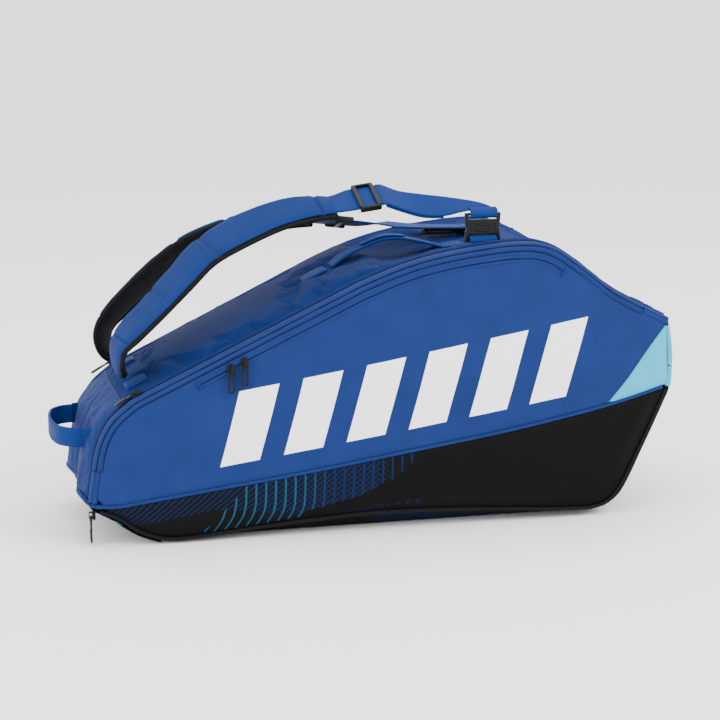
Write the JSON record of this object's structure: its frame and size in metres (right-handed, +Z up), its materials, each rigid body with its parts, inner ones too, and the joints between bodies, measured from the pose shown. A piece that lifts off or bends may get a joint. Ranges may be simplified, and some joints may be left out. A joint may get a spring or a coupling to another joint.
{
  "type": "racket tournament bag",
  "caption": "Long fabric racket bag with two zipped side flaps, padded backpack straps, top handle, end grab loop and a dark printed base.",
  "frame": {"origin": "centre of the bounding box in plan, on the floor under the flat base", "axes": "+X towards the tall end, -Y towards the front wall with the pocket, +Z up"},
  "size_m": [0.774, 0.2648, 0.4218],
  "materials": {
    "blue_fabric": "woven polyester, matt with a slight sheen",
    "blue_webbing": "ribbed webbing and piping",
    "black_fabric": "coated weave, matt",
    "teal_fabric": "woven polyester, matt",
    "black_mesh": "spacer mesh",
    "lining": "plain lining",
    "board": "matt board",
    "zip_tape": "knitted zip tape with coil",
    "black_plastic": "satin moulded plastic",
    "gunmetal": "dark plated metal"
  },
  "bodies": {
    "bag": {"base_panel": "black_fabric", "base_board": "board", "left_base_panel": "black_fabric", "left_end_panel": "blue_fabric", "top_gusset": "blue_fabric", "right_end_upper": "blue_fabric", "right_end_lower": "black_fabric", "front_lower_panel": "black_fabric", "rear_lower_panel": "black_fabric", "front_middle_panel": "blue_fabric", "rear_middle_panel": "blue_fabric", "front_corner_panel": "teal_fabric", "rear_corner_panel": "teal_fabric", "front_waist_piping": "blue_webbing", "rear_waist_piping": "blue_webbing", "front_base_piping": "black_fabric", "rear_base_piping": "black_fabric", "front_zip_body_tape": "zip_tape", "rear_zip_body_tape": "zip_tape", "centre_divider": "lining", "base_end_zip": "zip_tape", "front_strap_tab": "blue_webbing", "rear_strap_tab": "blue_webbing", "front_buckle_tab": "blue_webbing", "rear_hook_tab": "blue_webbing", "rear_hook_bar": "black_plastic", "rear_strap_webbing_end": "blue_webbing", "handle_left_patch": "blue_webbing", "handle_right_patch": "blue_webbing"},
    "front_flap": {"front_flap_panel": "blue_fabric", "front_flap_piping": "blue_fabric", "front_zip_flap_tape": "zip_tape", "pocket_lining": "lining", "pocket_zip_tape": "zip_tape"},
    "rear_flap": {"rear_flap_panel": "blue_fabric", "rear_flap_piping": "blue_fabric", "rear_zip_flap_tape": "zip_tape"},
    "front_main_slider": {"front_main_zip_slider": "gunmetal"},
    "front_main_puller": {"front_main_zip_puller": "gunmetal"},
    "rear_main_slider": {"rear_main_zip_slider": "gunmetal"},
    "rear_main_puller": {"rear_main_zip_puller": "gunmetal"},
    "pocket_left_slider": {"pocket_left_slider": "gunmetal"},
    "pocket_left_puller": {"pocket_left_puller": "gunmetal"},
    "pocket_right_slider": {"pocket_right_slider": "gunmetal"},
    "pocket_right_puller": {"pocket_right_puller": "gunmetal"},
    "base_end_slider": {"base_end_zip_slider": "gunmetal"},
    "base_end_puller": {"base_end_zip_puller": "gunmetal"},
    "front_strap": {"front_strap_pad": "blue_fabric", "front_strap_backing": "black_mesh", "front_strap_webbing": "blue_webbing", "front_buckle": "black_plastic"},
    "front_ladder_lock": {"front_ladder_lock": "black_plastic"},
    "rear_strap": {"rear_strap_pad": "blue_fabric", "rear_strap_backing": "black_mesh", "rear_strap_webbing": "blue_webbing"},
    "rear_ladder_lock": {"rear_ladder_lock": "black_plastic"},
    "rear_snap_hook": {"rear_snap_hook": "black_plastic"},
    "rear_hook_gate": {"rear_hook_gate": "gunmetal"},
    "top_handle": {"top_handle": "blue_webbing"},
    "grab_loop": {"grab_loop": "blue_webbing"}
  },
  "joints": [
    {"name": "front_flap_fold", "type": "hinge", "parent": "bag", "child": "front_flap", "pos_m": [-0.3316, -0.1276, 0.084], "axis": [0.9689, -0.0142, 0.2468], "range_deg": [0, 80]},
    {"name": "rear_flap_fold", "type": "hinge", "parent": "bag", "child": "rear_flap", "pos_m": [-0.3316, 0.1276, 0.084], "axis": [-0.9689, -0.0142, -0.2468], "range_deg": [0, 80]},
    {"name": "front_main_zip_slide", "type": "slide", "parent": "bag", "child": "front_main_slider", "axis": [0.9018, -0.0302, 0.431], "range_m": [0, 0.31]},
    {"name": "front_main_puller_hinge", "type": "hinge", "parent": "front_main_slider", "child": "front_main_puller", "pos_m": [-0.28677, -0.10346, 0.18621], "axis": [0, 1, 0], "range_deg": [0, 150]},
    {"name": "rear_main_zip_slide", "type": "slide", "parent": "bag", "child": "rear_main_slider", "axis": [0.9018, 0.0302, 0.431], "range_m": [0, 0.31]},
    {"name": "rear_main_puller_hinge", "type": "hinge", "parent": "rear_main_slider", "child": "rear_main_puller", "pos_m": [-0.29277, 0.10335, 0.18334], "axis": [0, 1, 0], "range_deg": [0, 150]},
    {"name": "pocket_left_zip_slide", "type": "slide", "parent": "front_flap", "child": "pocket_left_slider", "axis": [0.9018, -0.0302, 0.431], "range_m": [-0.03, 0]},
    {"name": "pocket_left_puller_hinge", "type": "hinge", "parent": "pocket_left_slider", "child": "pocket_left_puller", "pos_m": [-0.17472, -0.12618, 0.2109], "axis": [-1, 0, 0], "range_deg": [0, 150]},
    {"name": "pocket_right_zip_slide", "type": "slide", "parent": "front_flap", "child": "pocket_right_slider", "axis": [0.9018, -0.0302, 0.431], "range_m": [0, 0.18]},
    {"name": "pocket_right_puller_hinge", "type": "hinge", "parent": "pocket_right_slider", "child": "pocket_right_puller", "pos_m": [-0.15872, -0.12674, 0.21854], "axis": [-1, 0, 0], "range_deg": [0, 150]},
    {"name": "base_end_zip_slide", "type": "slide", "parent": "bag", "child": "base_end_slider", "axis": [-0.1641, 0.9797, -0.1151], "range_m": [0, 0.035]},
    {"name": "base_end_puller_hinge", "type": "hinge", "parent": "base_end_slider", "child": "base_end_puller", "pos_m": [-0.35875, -0.0983, 0.03509], "axis": [-0.1123, 0.9937, 0], "range_deg": [0, 120]},
    {"name": "front_strap_swing", "type": "hinge", "parent": "bag", "child": "front_strap", "pos_m": [-0.2906, -0.056, 0.19], "axis": [0.9227, -0.0762, 0.378], "range_deg": [0, 40]},
    {"name": "front_ladder_lock_slide", "type": "slide", "parent": "front_strap", "child": "front_ladder_lock", "axis": [0.9908, 0, 0.1351], "range_m": [-0.012, 0.003]},
    {"name": "rear_strap_swing", "type": "hinge", "parent": "bag", "child": "rear_strap", "pos_m": [-0.2906, 0.056, 0.19], "axis": [-0.9063, 0.0051, -0.4226], "range_deg": [0, 40]},
    {"name": "rear_ladder_lock_slide", "type": "slide", "parent": "rear_strap", "child": "rear_ladder_lock", "axis": [0.9872, 0, -0.1592], "range_m": [-0.012, 0.01]},
    {"name": "rear_hook_swivel", "type": "hinge", "parent": "bag", "child": "rear_snap_hook", "pos_m": [0.1584, 0.05, 0.3452], "axis": [1, 0, 0], "range_deg": [-8, 8]},
    {"name": "rear_hook_gate_hinge", "type": "hinge", "parent": "rear_snap_hook", "child": "rear_hook_gate", "pos_m": [0.1404, 0.0586, 0.3452], "axis": [0, 0, 1], "range_deg": [0, 20], "stiffness_Nm_per_rad": 0.02},
    {"name": "top_handle_swing", "type": "hinge", "parent": "bag", "child": "top_handle", "pos_m": [-0.0246, 0, 0.314], "axis": [0.9901, 0, 0.1404], "range_deg": [-12, 12]},
    {"name": "grab_loop_swing", "type": "hinge", "parent": "bag", "child": "grab_loop", "pos_m": [-0.3406, 0, 0.126], "axis": [0, 1, 0], "range_deg": [-10, 25]}
  ]
}
